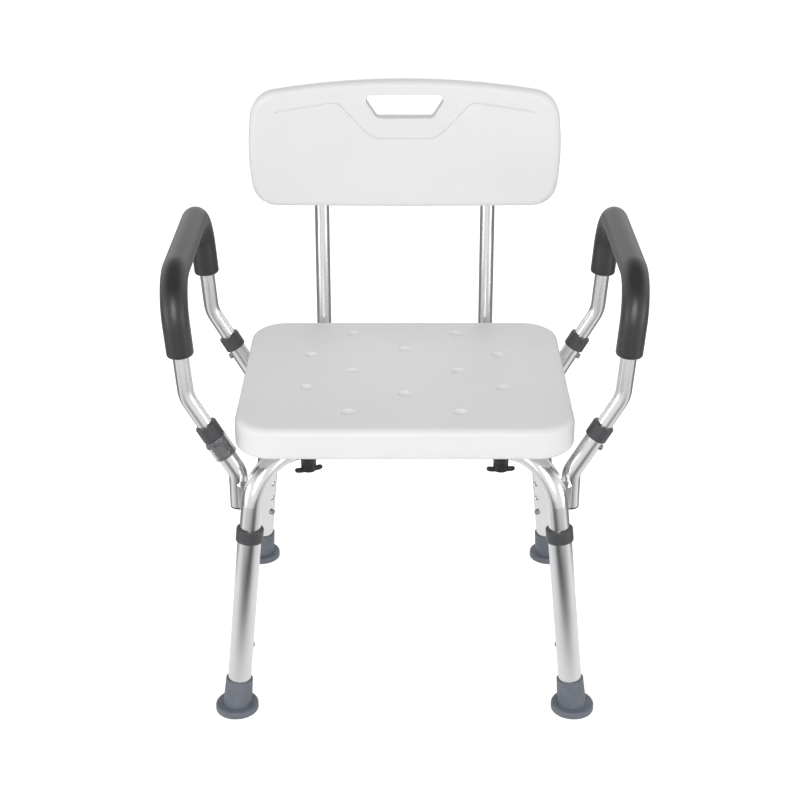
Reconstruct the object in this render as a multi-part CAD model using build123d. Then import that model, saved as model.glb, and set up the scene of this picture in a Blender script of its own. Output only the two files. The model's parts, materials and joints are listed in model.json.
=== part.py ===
from build123d import *
from math import atan2, cos, degrees, hypot, radians, sin, sqrt, tan
import os

os.makedirs("parts", exist_ok=True)

# Shower chair with back and arms, in millimetres, origin on the floor under the middle of the frame.
# The front of the chair faces -Y, +X is to the right seen from the front, +Z is up.

# Fits
slide_gap = 0.3
seat_gap = 0.1
hole_gap = 0.3

# Seat outline, which the legs, arms and back follow
seat_width = 403.0
seat_depth = 331.0
seat_centre_y = -4.5

# Frame and telescoping legs
foot_beyond_side = 8.1
foot_beyond_front = 17.5
foot_x = seat_width / 2 + foot_beyond_side
foot_y = seat_depth / 2 + foot_beyond_front
leg_splay = 7.52
frame_tube_od = 25.4
frame_tube_wall = 1.4
frame_height = 327.0
frame_bend = 58.0
frame_low_end = 62.0
joggle_outer = 78.0
joggle_inner = 36.0
joggle_bend = 40.0
leg_tube_od = 28.6
leg_tube_wall = leg_tube_od / 2 - frame_tube_od / 2 - slide_gap
leg_tube_low = 9.0
leg_top_below_frame = 81.6
leg_tube_top = frame_height - leg_top_below_frame
leg_button_at = 84.5
leg_hole_count = 7
leg_top_margin = 18.4
leg_hole_pitch = (leg_tube_top - leg_top_margin - leg_button_at) / (leg_hole_count - 1)
leg_collar_od = 33.0
leg_collar_grip = 13.9
leg_collar_low = leg_tube_top - leg_collar_grip
leg_collar_lip = 3.0
collar_edge_round = 1.4

# Rubber feet
foot_base_radius = 26.5
foot_base_height = 8.0
foot_rim_radius = 16.6
foot_root_radius = 18.5
foot_rim_at = 42.0
foot_edge_round = 2.5

# Snap buttons and their leaf springs
button_radius = 3.8
button_stand = 4.0
button_dome = 1.6
spring_width = 9.0
spring_thick = 0.8
spring_tail = 14.0
spring_reach = 30.0

# Seat
seat_corner = 46.0
seat_thick = 40.0
seat_bottom = frame_height + frame_tube_od / 2 + slide_gap
seat_top = seat_bottom + seat_thick
seat_top_round = 9.0
seat_bottom_round = 8.0
shell_wall = 3.0
dimple_radius = 9.0
dimple_depth = 5.0
dimple_near_x = 67.0
dimple_far_x = 120.0
dimple_pair_y = 119.0
dimple_side_y = 49.5
dimple_middle_y = 68.0
dimple_shift_y = -1.5
blow_hole_radius = 4.0
blow_hole_y = -30.0

# Cross bolt through the middle of the frame
cross_bolt_radius = 3.0
cross_head_radius = 5.5
cross_head_height = 4.0
cross_nut_radius = 5.5
cross_nut_height = 5.0
cross_bolt_tail = 2.0
cross_recess_radius = 8.0
cross_recess_depth = 5.0

# Wing knobs with their studs and the threaded inserts in the seat
stud_radius = 3.0
wing_front_x = 117.0
knob_flange_radius = 11.0
knob_flange_height = 5.0
knob_neck_radius = 9.5
knob_height = 23.0
wing_length = 36.0
wing_thick = 7.0
wing_height = 8.0
insert_radius = 5.0
insert_length = 12.0
boss_radius = 9.0
stud_in_knob = 14.0
wing_turn = {"front_left": 20.0, "front_right": 3.0, "rear_left": 65.0, "rear_right": -40.0}

# Back tubes and backrest
back_tube_od = 19.05
back_tube_wall = 1.2
back_tube_x = 109.2
back_tube_behind_seat = 14.0
back_tube_y = seat_centre_y + seat_depth / 2 + back_tube_behind_seat
back_tube_level_drop = 8.0
back_tube_level = seat_top - back_tube_level_drop
back_recline = 3.5
back_bend = 24.0
back_run_past_bolt = 28.0
back_tube_rise = 284.0
back_tube_top = seat_top + back_tube_rise
backrest_width = 402.0
backrest_above_seat = 154.0
backrest_height = 165.0
backrest_low = seat_top + backrest_above_seat
backrest_high = backrest_low + backrest_height
backrest_crown = 14.0
backrest_sag = 7.0
backrest_side_bow = 8.0
backrest_corner = 34.0
backrest_thick = 26.0
backrest_curve = 900.0
backrest_edge_round = 7.0
backrest_boss_radius = 12.5
handle_half_top = 55.5
handle_half_low = 36.0
handle_rail = 18.0
handle_height = 30.0
handle_high = backrest_high - handle_rail
handle_low = handle_high - handle_height
handle_corner = 7.0
# Half of the panel line: distance from the middle, distance below the backrest's top
panel_line_margin = 34.5
panel_line_end = (backrest_width / 2 - panel_line_margin, 36.0)
panel_line_half = [panel_line_end, (93.0, 26.0), (85.0, 27.5), (49.0, 66.0), (36.0, 73.0)]
groove_width = 3.0
groove_depth = 1.6
screw_radius = 2.0
screw_head_radius = 4.5
screw_head_height = 2.5
screw_length = 12.0
screw_low = 34.0
screw_spacing = 66.0
screw_heights = (backrest_low + screw_low, backrest_low + screw_low + screw_spacing)

# Arms, their sockets and grips
arm_tube_od = 19.05
arm_tube_wall = 1.2
arm_beyond_side = 54.0
arm_x = seat_width / 2 + arm_beyond_side
arm_lean = 4.0
arm_inside_front = 31.5
arm_y = seat_depth / 2 - arm_inside_front
arm_above_seat = 167.5
arm_height = seat_top + arm_above_seat
arm_bend = 50.0
arm_low_bend = 42.0
grip_od = 32.0
grip_drop = 88.0
grip_end_z = arm_height - grip_drop
grip_end_round = 3.0
socket_od = 22.2
socket_inside_side = 2.0
socket_x = seat_width / 2 - socket_inside_side
socket_below_frame = 63.5
socket_low = frame_height - socket_below_frame
socket_tilt = 29.3
socket_bend = 24.0
arm_collar_beyond_side = 29.0
arm_collar_below_seat = 17.7
arm_collar_x = seat_width / 2 + arm_collar_beyond_side
arm_collar_z = seat_top - arm_collar_below_seat
arm_collar_od = 27.0
arm_collar_length = 20.0
arm_collar_lip = 3.0
arm_button_below = 18.0
arm_end_below_button = 32.0
saddle_length = 30.0
saddle_width = 14.0
saddle_above_plug = 1.5
saddle_low = socket_low + saddle_above_plug
rivet_radius = 2.4
rivet_head_radius = 4.6
rivet_head_height = 2.0
rivet_inset = 8.0
plug_depth = 6.0
plug_rim = 2.0
sleeve_od = 28.0
sleeve_length = 27.0
sleeve_slot = 14.0
sleeve_edge_round = 1.0

# Sizes that follow from the ones above
frame_radius = frame_tube_od / 2
leg_radius = leg_tube_od / 2
back_radius = back_tube_od / 2
arm_radius = arm_tube_od / 2
socket_radius = socket_od / 2
socket_wall = socket_radius - arm_radius - slide_gap
diagonal_reach = hypot(foot_x, foot_y)
diagonal_angle = degrees(atan2(foot_y, foot_x))
frame_corner = diagonal_reach - frame_height * tan(radians(leg_splay))
joggle_drop = frame_tube_od + slide_gap
back_run_height = seat_bottom + back_radius
knob_top = frame_height - frame_radius - slide_gap
groove_top = back_run_height + back_radius + slide_gap


def save(shape, node):
    """Write one named subcomponent."""
    export_step(shape, "parts/" + node + ".step")


def rounded_path(points, radii):
    """A path of straight runs joined by arcs of the given radius at each inner corner."""
    corners = [Vector(*p) for p in points]
    edges = []
    start = corners[0]
    for index in range(1, len(corners) - 1):
        corner = corners[index]
        back = (corners[index - 1] - corner).normalized()
        ahead = (corners[index + 1] - corner).normalized()
        half = radians(back.get_angle(ahead)) / 2
        radius = radii[index - 1]
        reach = radius / tan(half)
        bisector = (back + ahead).normalized()
        middle = corner + bisector * (radius / sin(half) - radius)
        edges.append(Line(start, corner + back * reach))
        edges.append(ThreePointArc(corner + back * reach, middle, corner + ahead * reach))
        start = corner + ahead * reach
    edges.append(Line(start, corners[-1]))
    return Wire([edge.edge() for edge in edges])


def rod(path, radius):
    """A solid round bar along a path."""
    start = Plane(origin=path @ 0, z_dir=path % 0)
    return sweep(start * Circle(radius), path)


def tube(path, od, wall):
    """A hollow round tube along a path."""
    return rod(path, od / 2) - rod(path, od / 2 - wall)


def upright(radius, low, high):
    """A round bar along local Z between two heights."""
    return Pos(0, 0, low) * Cylinder(radius, high - low, align=(Align.CENTER, Align.CENTER, Align.MIN))


def sideways(radius, near, far):
    """A round bar along local +X between two distances."""
    return Rot(0, 90, 0) * upright(radius, near, far)


def snap_button(inside, outside):
    """A domed pin along local +X, from the leaf that carries it to its tip."""
    pin = sideways(button_radius, inside, outside)
    return fillet(pin.faces().sort_by(Axis.X)[-1].edges(), button_dome)


def leaf_face(bore):
    """How far from the bore's axis a flat leaf's outer face lies."""
    return sqrt(bore ** 2 - (spring_width / 2) ** 2) - slide_gap


def leaf_spring(bore):
    """A U-shaped leaf inside a round bore; its leg on local +X carries the button."""
    bend = leaf_face(bore)
    ring = Pos(0, spring_reach) * (Circle(bend) - Circle(bend - spring_thick))
    ring -= Pos(0, spring_reach - bend) * Rectangle(2 * bend, 2 * bend)
    leg = Rectangle(spring_thick, spring_reach + spring_tail)
    leg_middle = (spring_reach - spring_tail) / 2
    near = Pos(bend - spring_thick / 2, leg_middle) * leg
    far = Pos(spring_thick / 2 - bend, leg_middle) * leg
    return extrude(Plane.XZ * (ring + near + far), spring_width / 2, both=True)


# The four corners: name, azimuth of the leg seen from above
corner_angles = {
    "front_left": 180.0 + diagonal_angle,
    "front_right": -diagonal_angle,
    "rear_left": 180.0 - diagonal_angle,
    "rear_right": diagonal_angle,
}


def leg_place(name):
    """Frame of one leg: origin on the floor, Z up the leg, X away from the middle of the chair."""
    return Rot(0, 0, corner_angles[name]) * Pos(diagonal_reach, 0, 0) * Rot(0, -leg_splay, 0)


# Telescoping leg, built once in its own frame; the snap button faces the middle of the chair
leg_tube = upright(leg_radius, leg_tube_low, leg_tube_top)
leg_tube -= upright(leg_radius - leg_tube_wall, leg_tube_low, leg_tube_top)
for index in range(leg_hole_count):
    height = leg_button_at + index * leg_hole_pitch
    leg_tube -= Pos(0, 0, height) * sideways(button_radius + hole_gap, -leg_tube_od, 0)

leg_collar = upright(leg_collar_od / 2, leg_collar_low, leg_tube_top + seat_gap + leg_collar_lip)
leg_collar = fillet(leg_collar.edges().filter_by(GeomType.CIRCLE), collar_edge_round)
leg_collar -= upright(leg_radius + seat_gap, leg_collar_low, leg_tube_top + seat_gap)
leg_collar -= upright(frame_radius + slide_gap, leg_collar_low, leg_tube_top + 2 * leg_collar_lip)

foot_cone_low = Pos(0, 0, -foot_base_height) * Circle(foot_root_radius)
foot_cone_high = Pos(0, 0, foot_rim_at) * Circle(foot_rim_radius)
foot_cone = loft([foot_cone_low.face(), foot_cone_high.face()])
foot_base = upright(foot_base_radius, 0, foot_base_height)
foot_base = fillet(foot_base.faces().sort_by(Axis.Z)[-1].edges(), foot_edge_round)
floor_box = Pos(0, 0, -leg_tube_od) * Box(6 * leg_tube_od, 6 * leg_tube_od, 2 * leg_tube_od)
foot_bore = Rot(0, -leg_splay, 0) * upright(leg_radius + seat_gap, leg_tube_low, 2 * foot_rim_at)
foot = Rot(0, -leg_splay, 0) * foot_cone + foot_base - floor_box - foot_bore

frame_bore = frame_radius - frame_tube_wall
leg_button = Rot(0, 0, 180) * snap_button(leaf_face(frame_bore), leg_radius + button_stand)
leg_button = Pos(0, 0, leg_button_at) * leg_button
leg_spring = Pos(0, 0, leg_button_at) * Rot(0, 0, 180) * leaf_spring(frame_bore)

leg_springs = []
for name in corner_angles:
    place = leg_place(name)
    foot_place = Rot(0, 0, corner_angles[name]) * Pos(diagonal_reach, 0, 0)
    save(place * leg_tube, "leg_tube_" + name)
    save(place * leg_collar, "leg_collar_" + name)
    save(foot_place * foot, "foot_" + name)
    save(place * leg_button, "leg_button_" + name)
    leg_springs.append(place * leg_spring)
save(Compound(leg_springs), "leg_springs")

# Back tubes: L-shaped, running forward in the seat's grooves and toed out to the front wing bolts
wing_front_y = -wing_front_x * foot_y / foot_x
recline_slope = tan(radians(back_recline))
run_corner_y = back_tube_y - (back_tube_level - back_run_height) * recline_slope
run_toe = (wing_front_x - back_tube_x) / (run_corner_y - wing_front_y)
run_end_y = wing_front_y - back_run_past_bolt
run_end_x = wing_front_x + run_toe * back_run_past_bolt
wing_rear_x = (back_tube_x + run_toe * run_corner_y) / (1 + run_toe * foot_y / foot_x)
wing_rear_y = wing_rear_x * foot_y / foot_x
back_top_y = back_tube_y + (back_tube_top - back_tube_level) * recline_slope


def back_path(side, beyond):
    """Centre line of one back tube, from inside the backrest to a distance beyond its front end."""
    points = [
        (side * back_tube_x, back_top_y, back_tube_top),
        (side * back_tube_x, run_corner_y, back_run_height),
        (side * (run_end_x + run_toe * beyond), run_end_y - beyond, back_run_height),
    ]
    return rounded_path(points, [back_bend])


wing_spots = {
    "front_left": (-wing_front_x, wing_front_y),
    "front_right": (wing_front_x, wing_front_y),
    "rear_left": (-wing_rear_x, wing_rear_y),
    "rear_right": (wing_rear_x, wing_rear_y),
}


def stud_holes(low, high):
    """Clearance holes for the four wing studs."""
    return [Pos(x, y, 0) * upright(stud_radius + hole_gap, low, high) for x, y in wing_spots.values()]


# Backrest frame: local Z runs up the reclined back tubes, local Y backwards
back_plane = Pos(0, back_tube_y, back_tube_level) * Rot(-back_recline, 0, 0)
lean = cos(radians(back_recline))


def up_back(height):
    """Distance along the reclined back for a height above the floor."""
    return (height - back_tube_level) / lean


def slab(front, rear, low, high):
    """A curved upright slab between two offsets from the surface that holds both back tubes."""
    centre = -sqrt(backrest_curve ** 2 - back_tube_x ** 2)
    ring = upright(backrest_curve + rear, low, high) - upright(backrest_curve + front, low, high)
    window = Pos(0, backrest_curve, (low + high) / 2) * Box(2 * backrest_width, backrest_curve, high - low)
    return Pos(0, centre, 0) * (ring & window)


def backrest_outline(inset):
    """The backrest's front outline, drawn in by an inset."""
    half = backrest_width / 2 - inset
    low = up_back(backrest_low) + inset
    high = up_back(backrest_high) - inset
    middle = (low + high) / 2
    side = half - backrest_side_bow
    top_corner = (side, high - backrest_crown)
    low_corner = (side, low + backrest_sag)
    top = ThreePointArc((-side, high - backrest_crown), (0, high), top_corner)
    right = ThreePointArc(top_corner, (half, middle), low_corner)
    bottom = ThreePointArc(low_corner, (0, low), (-side, low + backrest_sag))
    left = ThreePointArc((-side, low + backrest_sag), (-half, middle), (-side, high - backrest_crown))
    face = make_face([top, right, bottom, left])
    return fillet(face.vertices(), backrest_corner - inset)


def handle_outline(grow):
    """The carrying hole's outline, grown outwards by a margin."""
    high = up_back(handle_high) + grow
    low = up_back(handle_low) - grow
    wide = handle_half_top + grow
    narrow = handle_half_low + grow
    face = make_face(Polyline((-wide, high), (wide, high), (narrow, low), (-narrow, low), close=True))
    return fillet(face.vertices(), handle_corner + grow / 2)


def through(face):
    """A face in the backrest's front view, run right through its thickness."""
    return extrude(Plane.XZ * face, backrest_width / 2, both=True)


half_thick = backrest_thick / 2
back_low = up_back(backrest_low) - backrest_corner
back_high = up_back(backrest_high) + backrest_corner
tube_top = up_back(back_tube_top)
backrest = slab(-half_thick, half_thick, back_low, back_high) & through(backrest_outline(0))
broad_faces = backrest.faces().filter_by(GeomType.CYLINDER).sort_by(SortBy.AREA)[-2:]
backrest = fillet(broad_faces[0].edges() + broad_faces[1].edges(), backrest_edge_round)

cavity = slab(shell_wall - half_thick, half_thick - shell_wall, back_low, back_high)
cavity = cavity & through(backrest_outline(2 * shell_wall))
cavity -= through(handle_outline(shell_wall))
boss = upright(backrest_boss_radius, back_low, tube_top + shell_wall)
for side in (-1, 1):
    cavity -= Pos(side * back_tube_x, 0, 0) * boss
backrest -= cavity
backrest -= through(handle_outline(0))
middle_bow = backrest_curve - sqrt(backrest_curve ** 2 - back_tube_x ** 2)
blow_hole_top = up_back(backrest_low) + 4 * shell_wall
backrest -= Pos(0, middle_bow, 0) * upright(blow_hole_radius, back_low, blow_hole_top)

# The panel line that dips under the carrying hole
line_whole = [(-x, drop) for x, drop in panel_line_half]
line_whole += [(x, drop) for x, drop in reversed(panel_line_half)]
upper_side = [(x, up_back(backrest_high - drop) + groove_width / 2) for x, drop in line_whole]
lower_side = [(x, up_back(backrest_high - drop) - groove_width / 2) for x, drop in reversed(line_whole)]
panel_line = through(make_face(Polyline(*upper_side, *lower_side, close=True)))
backrest -= panel_line & slab(-half_thick - groove_depth, groove_depth - half_thick, back_low, back_high)

screws = []
back_tube_holes = []
tube_bore = upright(back_radius + seat_gap, back_low, tube_top + seat_gap)
for side in (-1, 1):
    backrest -= Pos(side * back_tube_x, 0, 0) * tube_bore
    for height in screw_heights:
        spot = Pos(side * back_tube_x, half_thick, up_back(height)) * Rot(0, 0, -90)
        shank = sideways(screw_radius, 0, screw_length)
        head = sideways(screw_head_radius, -screw_head_height, 0)
        head = fillet(head.faces().sort_by(Axis.X)[0].edges(), screw_head_height / 2)
        hole = spot * sideways(screw_radius + seat_gap, -screw_head_height, screw_length)
        flat = spot * sideways(screw_head_radius + seat_gap, -2 * screw_head_height, 0)
        backrest = backrest - hole - flat
        back_tube_holes.append(back_plane * hole)
        screws.append(back_plane * (spot * (shank + head)))
save(back_plane * backrest, "backrest")
save(Compound(screws), "backrest_screws")

back_plugs = []
for side, word in ((-1, "left"), (1, "right")):
    path = back_path(side, 0)
    back_tube = tube(path, back_tube_od, back_tube_wall)
    for hole in stud_holes(seat_bottom - frame_tube_od, seat_top) + back_tube_holes:
        back_tube -= hole
    save(back_tube, "back_tube_" + word)
    end = Plane(origin=path @ 1, z_dir=path % 1)
    plug = upright(back_radius - back_tube_wall - seat_gap, -plug_depth, 0)
    plug += upright(back_radius, 0, plug_rim)
    back_plugs.append(end * plug)
save(Compound(back_plugs), "back_tube_plugs")

# Seat: a hollow blow-moulded shell with dimples on top and tube grooves underneath
seat_spot = Pos(0, seat_centre_y, seat_bottom)
seat = extrude(RectangleRounded(seat_width, seat_depth, seat_corner), seat_top - seat_bottom)
seat = fillet(seat.faces().sort_by(Axis.Z)[-1].edges(), seat_top_round)
seat = seat_spot * fillet(seat.faces().sort_by(Axis.Z)[0].edges(), seat_bottom_round)
inner_width = seat_width - 2 * shell_wall
inner_depth = seat_depth - 2 * shell_wall
cavity = RectangleRounded(inner_width, inner_depth, seat_corner - shell_wall)
cavity = extrude(cavity, seat_top - seat_bottom - 2 * shell_wall)
cavity = fillet(cavity.faces().sort_by(Axis.Z)[-1].edges(), seat_top_round - shell_wall)
cavity = fillet(cavity.faces().sort_by(Axis.Z)[0].edges(), seat_bottom_round - shell_wall)
cavity = seat_spot * Pos(0, 0, shell_wall) * cavity
groove_beyond = plug_rim + slide_gap


def run_channel(side, half_width, top):
    """The space under one back tube's run, open to the rear and to below."""
    rear_y = run_corner_y + back_bend
    rear_x = back_tube_x - run_toe * back_bend
    front_y = run_end_y - groove_beyond - half_width + back_radius + slide_gap
    front_x = run_end_x + run_toe * groove_beyond
    corners = [
        (side * (rear_x - half_width), rear_y),
        (side * (rear_x + half_width), rear_y),
        (side * (front_x + half_width), front_y),
        (side * (front_x - half_width), front_y),
    ]
    floor = seat_bottom - shell_wall
    return Pos(0, 0, floor) * extrude(make_face(Polyline(*corners, close=True)), top - floor)


dimple_sphere = (dimple_radius ** 2 + dimple_depth ** 2) / (2 * dimple_depth)
dimple_spots = [(0, dimple_middle_y), (0, -dimple_middle_y)]
for side in (-1, 1):
    dimple_spots.append((side * dimple_near_x, 0))
    for end in (-1, 1):
        dimple_spots.append((side * dimple_near_x, end * dimple_pair_y))
        dimple_spots.append((side * dimple_far_x, end * dimple_side_y))
channel_half = back_radius + slide_gap
for side in (-1, 1):
    cavity -= run_channel(side, channel_half + shell_wall, groove_top + shell_wall)
    cavity -= rod(back_path(side, groove_beyond + shell_wall), channel_half + shell_wall)
for x, y in dimple_spots:
    centre = Pos(x, y + dimple_shift_y, seat_top - dimple_depth + dimple_sphere)
    cavity -= centre * Sphere(dimple_sphere + shell_wall)
for x, y in wing_spots.values():
    cavity -= Pos(x, y, 0) * upright(boss_radius, seat_bottom, seat_top)
recess_top = seat_bottom + cross_recess_depth
cavity -= upright(cross_recess_radius + shell_wall, seat_bottom, recess_top + shell_wall)
seat -= cavity
for side in (-1, 1):
    seat -= run_channel(side, channel_half, back_run_height)
    seat -= rod(back_path(side, groove_beyond), channel_half)
for x, y in dimple_spots:
    seat -= Pos(x, y + dimple_shift_y, seat_top - dimple_depth + dimple_sphere) * Sphere(dimple_sphere)
for x, y in wing_spots.values():
    seat -= Pos(x, y, 0) * upright(insert_radius + seat_gap, back_run_height, groove_top + insert_length)
seat -= upright(cross_recess_radius, seat_bottom - shell_wall, recess_top)
blow_hole = upright(blow_hole_radius, seat_bottom - shell_wall, seat_bottom + 2 * shell_wall)
seat -= Pos(0, blow_hole_y, 0) * blow_hole
save(seat, "seat")

# Threaded inserts, wing studs and wing knobs
inserts = []
for name, spot in wing_spots.items():
    place = Pos(spot[0], spot[1], 0) * Rot(0, 0, wing_turn[name])
    insert = upright(insert_radius, groove_top, groove_top + insert_length - seat_gap)
    insert -= upright(stud_radius + hole_gap, groove_top, groove_top + insert_length)
    inserts.append(place * insert)
    stud = upright(stud_radius, knob_top - stud_in_knob, groove_top + insert_length - slide_gap)
    save(place * stud, "wing_stud_" + name)
    flange = upright(knob_flange_radius, knob_top - knob_flange_height, knob_top)
    flange = fillet(flange.faces().sort_by(Axis.Z)[0].edges(), knob_flange_height / 4)
    neck = upright(knob_neck_radius, knob_top - knob_height + wing_height / 2, knob_top)
    wing = Plane.XZ * RectangleRounded(wing_length, wing_height, wing_height / 3)
    wing = extrude(wing, wing_thick / 2, both=True)
    wing = fillet(wing.faces().filter_by(Axis.Y).edges(), wing_thick / 5)
    wing = Pos(0, 0, knob_top - knob_height + wing_height / 2) * wing
    knob = flange + neck + wing
    knob -= upright(stud_radius + seat_gap, knob_top - stud_in_knob - seat_gap, knob_top)
    save(place * knob, "wing_knob_" + name)
save(Compound(inserts), "seat_inserts")

# Two U-shaped frame tubes that cross under the seat; the second one dips below the first
low_end_out = diagonal_reach - frame_low_end * sin(radians(leg_splay))
low_end_up = frame_low_end * cos(radians(leg_splay))


def frame_path(azimuth, dips):
    """Centre line of one U-shaped frame tube across a diagonal of the chair."""
    run = [(frame_corner, frame_height), (-frame_corner, frame_height)]
    radii = [frame_bend, frame_bend]
    if dips:
        low = frame_height - joggle_drop
        dip = [(joggle_outer, frame_height), (joggle_inner, low)]
        dip += [(-joggle_inner, low), (-joggle_outer, frame_height)]
        run = [run[0]] + dip + [run[1]]
        radii = [frame_bend] + [joggle_bend] * 4 + [frame_bend]
    ends = [(low_end_out, low_end_up)] + run + [(-low_end_out, low_end_up)]
    c = cos(radians(azimuth))
    s = sin(radians(azimuth))
    return rounded_path([(t * c, t * s, z) for t, z in ends], radii)


frame_corners = {
    "frame_tube_a": ("rear_right", "front_left", False),
    "frame_tube_b": ("rear_left", "front_right", True),
}
frame_solids = {}
frame_rods = []
for node, (near, far, dips) in frame_corners.items():
    path = frame_path(corner_angles[near], dips)
    frame_rods.append(rod(path, frame_radius + seat_gap))
    body = tube(path, frame_tube_od, frame_tube_wall)
    for name in (near, far):
        hole = sideways(button_radius + hole_gap, -frame_tube_od, 0)
        body -= leg_place(name) * Pos(0, 0, leg_button_at) * hole
    for hole in stud_holes(0, seat_bottom):
        body -= hole
    body -= upright(cross_bolt_radius + seat_gap, 0, seat_bottom)
    frame_solids[node] = body

bolt_top = frame_height + frame_radius + seat_gap
nut_top = frame_height - joggle_drop - frame_radius - seat_gap
cross_head = upright(cross_head_radius, bolt_top, bolt_top + cross_head_height)
cross_head = fillet(cross_head.faces().sort_by(Axis.Z)[-1].edges(), cross_head_height / 3)
cross_bolt = cross_head + upright(cross_bolt_radius, nut_top - cross_nut_height - cross_bolt_tail, bolt_top)
save(cross_bolt, "cross_bolt")
cross_nut = extrude(RegularPolygon(cross_nut_radius, 6), cross_nut_height)
cross_nut = Pos(0, 0, nut_top - cross_nut_height) * cross_nut
save(cross_nut - upright(cross_bolt_radius + seat_gap, 0, nut_top), "cross_nut")

# Arm sockets, riveted to the legs through saddles
axis_x = sin(radians(socket_tilt))
axis_z = cos(radians(socket_tilt))
socket_corner_z = arm_collar_z - (arm_collar_x - socket_x) * axis_z / axis_x
socket_top = arm_collar_length / 2 - arm_collar_lip - seat_gap
arm_end = arm_button_below + arm_end_below_button


def sides_of(name):
    """Signs of X and Y for one corner of the chair."""
    return (-1 if "left" in name else 1), (-1 if "front" in name else 1)


def arm_place(name):
    """Frame of one arm socket: origin in its collar, Z out along the arm, X to the button side."""
    side, end = sides_of(name)
    turn = 0 if side > 0 else 180
    return Pos(side * arm_collar_x, end * arm_y, arm_collar_z) * Rot(0, 0, turn) * Rot(0, socket_tilt, 0)


def socket_path(name):
    """Centre line of one bent socket tube, from its lower end to its mouth."""
    side, end = sides_of(name)
    mouth_x = arm_collar_x + socket_top * axis_x
    mouth_z = arm_collar_z + socket_top * axis_z
    points = [
        (side * socket_x, end * arm_y, socket_low),
        (side * socket_x, end * arm_y, socket_corner_z),
        (side * mouth_x, end * arm_y, mouth_z),
    ]
    return rounded_path(points, [socket_bend])


saddles = []
rivets = []
socket_plugs = []
arm_button_hole = Pos(0, 0, -arm_button_below) * sideways(button_radius + hole_gap, 0, socket_od)
for name in corner_angles:
    side, end = sides_of(name)
    path = socket_path(name)
    socket = tube(path, socket_od, socket_wall)
    socket -= arm_place(name) * arm_button_hole
    saddle_mid = saddle_low + saddle_length / 2
    slope = tan(radians(leg_splay)) / diagonal_reach
    leg_dx = foot_x * (1 - saddle_mid * slope) - socket_x
    leg_dy = foot_y * (1 - saddle_mid * slope) - arm_y
    spacing = hypot(leg_dx, leg_dy)
    facing = degrees(atan2(end * leg_dy, side * leg_dx))
    spot = Pos(side * socket_x, end * arm_y, 0) * Rot(0, 0, facing)
    saddle = spot * Pos(spacing / 2, 0, saddle_mid) * Box(spacing, saddle_width, saddle_length)
    saddle -= rod(path, socket_radius + seat_gap)
    for solid in frame_rods:
        saddle -= solid
    for height in (saddle_low + rivet_inset, saddle_low + saddle_length - rivet_inset):
        far = spacing - frame_radius + frame_tube_wall
        hole = sideways(rivet_radius + seat_gap, -socket_od, far + frame_tube_wall)
        hole = spot * Pos(0, 0, height) * hole
        saddle -= hole
        socket -= hole
        for node in frame_solids:
            frame_solids[node] -= hole
        shank = sideways(rivet_radius, -socket_radius - rivet_head_height / 2, far + rivet_head_height)
        head = sideways(rivet_head_radius, -socket_radius - rivet_head_height, -socket_radius - seat_gap)
        head = fillet(head.faces().sort_by(Axis.X)[0].edges(), rivet_head_height / 2)
        rivets.append(spot * Pos(0, 0, height) * (shank + head))
    saddles.append(saddle)
    save(socket, "arm_socket_" + name)
    plug = upright(socket_radius - socket_wall - seat_gap, socket_low, socket_low + plug_depth)
    plug += upright(socket_radius, socket_low - plug_rim, socket_low)
    socket_plugs.append(Pos(side * socket_x, end * arm_y, 0) * plug)
    half = arm_collar_length / 2
    collar = upright(arm_collar_od / 2, -half, half)
    collar = fillet(collar.edges().filter_by(GeomType.CIRCLE), collar_edge_round)
    collar -= upright(socket_radius + seat_gap, -half, socket_top + seat_gap)
    collar -= upright(arm_radius + slide_gap, -half, half)
    save(arm_place(name) * collar, "arm_collar_" + name)
save(Compound(saddles), "socket_saddles")
save(Compound(rivets), "socket_rivets")
save(Compound(socket_plugs), "socket_plugs")
for node, body in frame_solids.items():
    save(body, node)

sleeve_top = -arm_collar_length / 2 - seat_gap
sleeve = upright(sleeve_od / 2, sleeve_top - sleeve_length, sleeve_top)
sleeve = fillet(sleeve.edges().filter_by(GeomType.CIRCLE), sleeve_edge_round)
sleeve -= upright(socket_radius + seat_gap, sleeve_top - sleeve_length, sleeve_top)
sleeve -= Pos(sleeve_od / 2, 0, sleeve_top - sleeve_length / 2) * Box(sleeve_od, sleeve_slot, sleeve_length)
save(arm_place("front_left") * sleeve, "button_sleeve")

# Arms with foam grips, snap buttons and their springs
arm_corner_z = arm_collar_z + (arm_x - arm_collar_x) * axis_z / axis_x
arm_bore = arm_radius - arm_tube_wall


def arm_out(height):
    """Distance of the leaning arm's centre line from the middle of the chair at a height."""
    return arm_x + (height - arm_corner_z) * tan(radians(arm_lean))


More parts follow.
